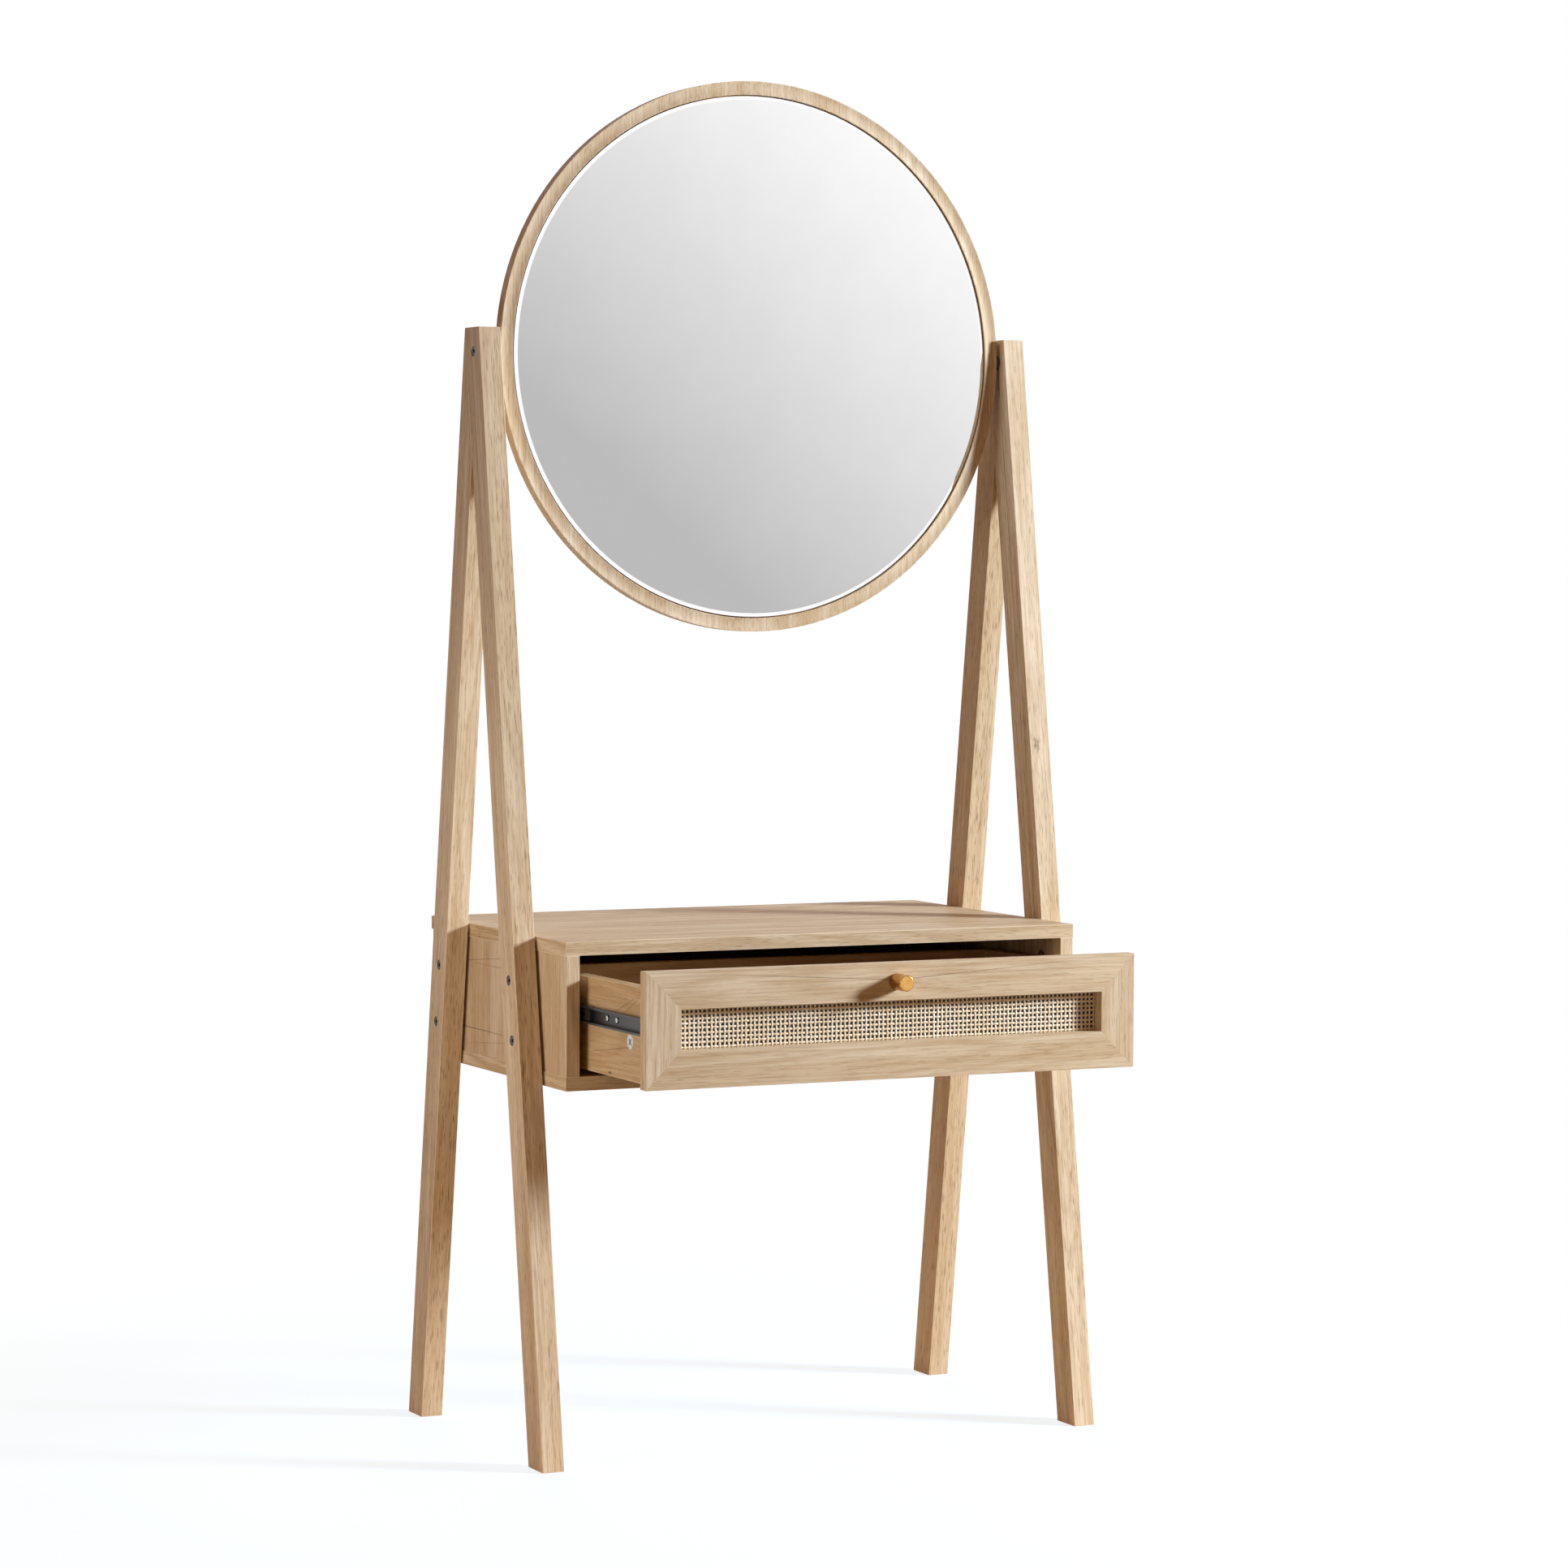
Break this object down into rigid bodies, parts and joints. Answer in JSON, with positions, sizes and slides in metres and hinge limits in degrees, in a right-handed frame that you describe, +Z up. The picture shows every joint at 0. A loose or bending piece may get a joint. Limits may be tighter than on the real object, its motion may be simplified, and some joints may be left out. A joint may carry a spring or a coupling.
{
  "type": "cheval mirror with drawer",
  "caption": "Round tilting floor mirror on two A-shaped wooden leg pairs, with a shallow case between them and a cane-fronted drawer on ball-bearing slides.",
  "frame": {"origin": "on the floor, under the middle of the whole object's bounding box, as it stands with its drawer open by 168 mm", "axes": "+X to the right as seen from the front, +Y to the back, +Z up; the drawer opens along -Y"},
  "size_m": [0.67, 0.583, 1.5],
  "materials": {
    "oak_veneer": "light oak-grain veneer, satin lacquer",
    "drawer_board": "light oak-grain foil, satin",
    "brown_hardboard": "smooth brown hardboard",
    "mirror_board": "raw fibreboard",
    "beech_dowel": "plain beech",
    "black_oxide_bolt": "black oxide, satin",
    "zinc_steel": "bright zinc plate",
    "grey_nylon": "dark grey nylon",
    "black_slide_steel": "black electro-coat, semi-gloss",
    "cage_steel": "plain sheet steel with grease",
    "ball_steel": "polished bearing steel",
    "black_rubber": "matte black rubber",
    "black_plastic": "black plastic",
    "woven_cane": "natural woven cane, unbleached",
    "black_board": "black-painted board",
    "satin_brass": "satin brushed brass",
    "mirror_glass": "silvered glass with a ground bevel",
    "foam_tape": "white double-sided foam pad"
  },
  "bodies": {
    "stand": {"left_front_leg": "oak_veneer", "left_rear_leg": "oak_veneer", "right_front_leg": "oak_veneer", "right_rear_leg": "oak_veneer", "apex_dowels": "beech_dowel", "leg_bolts": "black_oxide_bolt", "leg_inserts": "zinc_steel", "leg_spacers": "grey_nylon", "case_top": "oak_veneer", "case_bottom": "oak_veneer", "case_left_side": "oak_veneer", "case_right_side": "oak_veneer", "case_back": "brown_hardboard", "case_dowels": "beech_dowel", "case_cam_locks": "zinc_steel", "case_cam_pins": "zinc_steel", "back_screws": "zinc_steel", "left_slide_rail": "black_slide_steel", "right_slide_rail": "black_slide_steel", "rail_screws": "zinc_steel", "slide_bumpers": "black_rubber", "pivot_bolts": "black_oxide_bolt", "pivot_spacers": "grey_nylon"},
    "mirror": {"mirror_ring": "oak_veneer", "mirror_glass": "mirror_glass", "mirror_backing": "mirror_board", "glass_pads": "foam_tape", "retaining_plates": "zinc_steel", "plate_screws": "zinc_steel", "pivot_inserts": "zinc_steel"},
    "drawer": {"left_runner": "black_slide_steel", "right_runner": "black_slide_steel", "runner_screws": "zinc_steel", "release_levers": "black_plastic", "front_top_rail": "oak_veneer", "front_bottom_rail": "oak_veneer", "front_left_stile": "oak_veneer", "front_right_stile": "oak_veneer", "front_corner_keys": "beech_dowel", "cane_panel": "woven_cane", "cane_backing": "black_board", "backing_screws": "zinc_steel", "drawer_left_side": "drawer_board", "drawer_right_side": "drawer_board", "drawer_back": "drawer_board", "drawer_bottom": "brown_hardboard", "drawer_dowels": "beech_dowel", "drawer_cam_locks": "zinc_steel", "drawer_cam_pins": "zinc_steel", "drawer_back_screws": "zinc_steel", "knob": "satin_brass", "knob_screw": "zinc_steel"},
    "ball_cages": {"left_ball_cage": "cage_steel", "right_ball_cage": "cage_steel", "slide_balls": "ball_steel"}
  },
  "joints": [
    {"name": "mirror_tilt", "type": "hinge", "parent": "stand", "child": "mirror", "pos_m": [0, 0.0965, 1.194], "axis": [1, 0, 0], "continuous": true},
    {"name": "drawer_slide", "type": "slide", "parent": "stand", "child": "drawer", "axis": [0, -1, 0], "range_m": [-0.168, 0.042]},
    {"name": "cage_slide", "type": "slide", "parent": "stand", "child": "ball_cages", "axis": [0, -1, 0], "range_m": [-0.084, 0.021]}
  ],
  "couplings": [
    {"joint": "cage_slide", "follows": "drawer_slide", "ratio": 0.5}
  ]
}
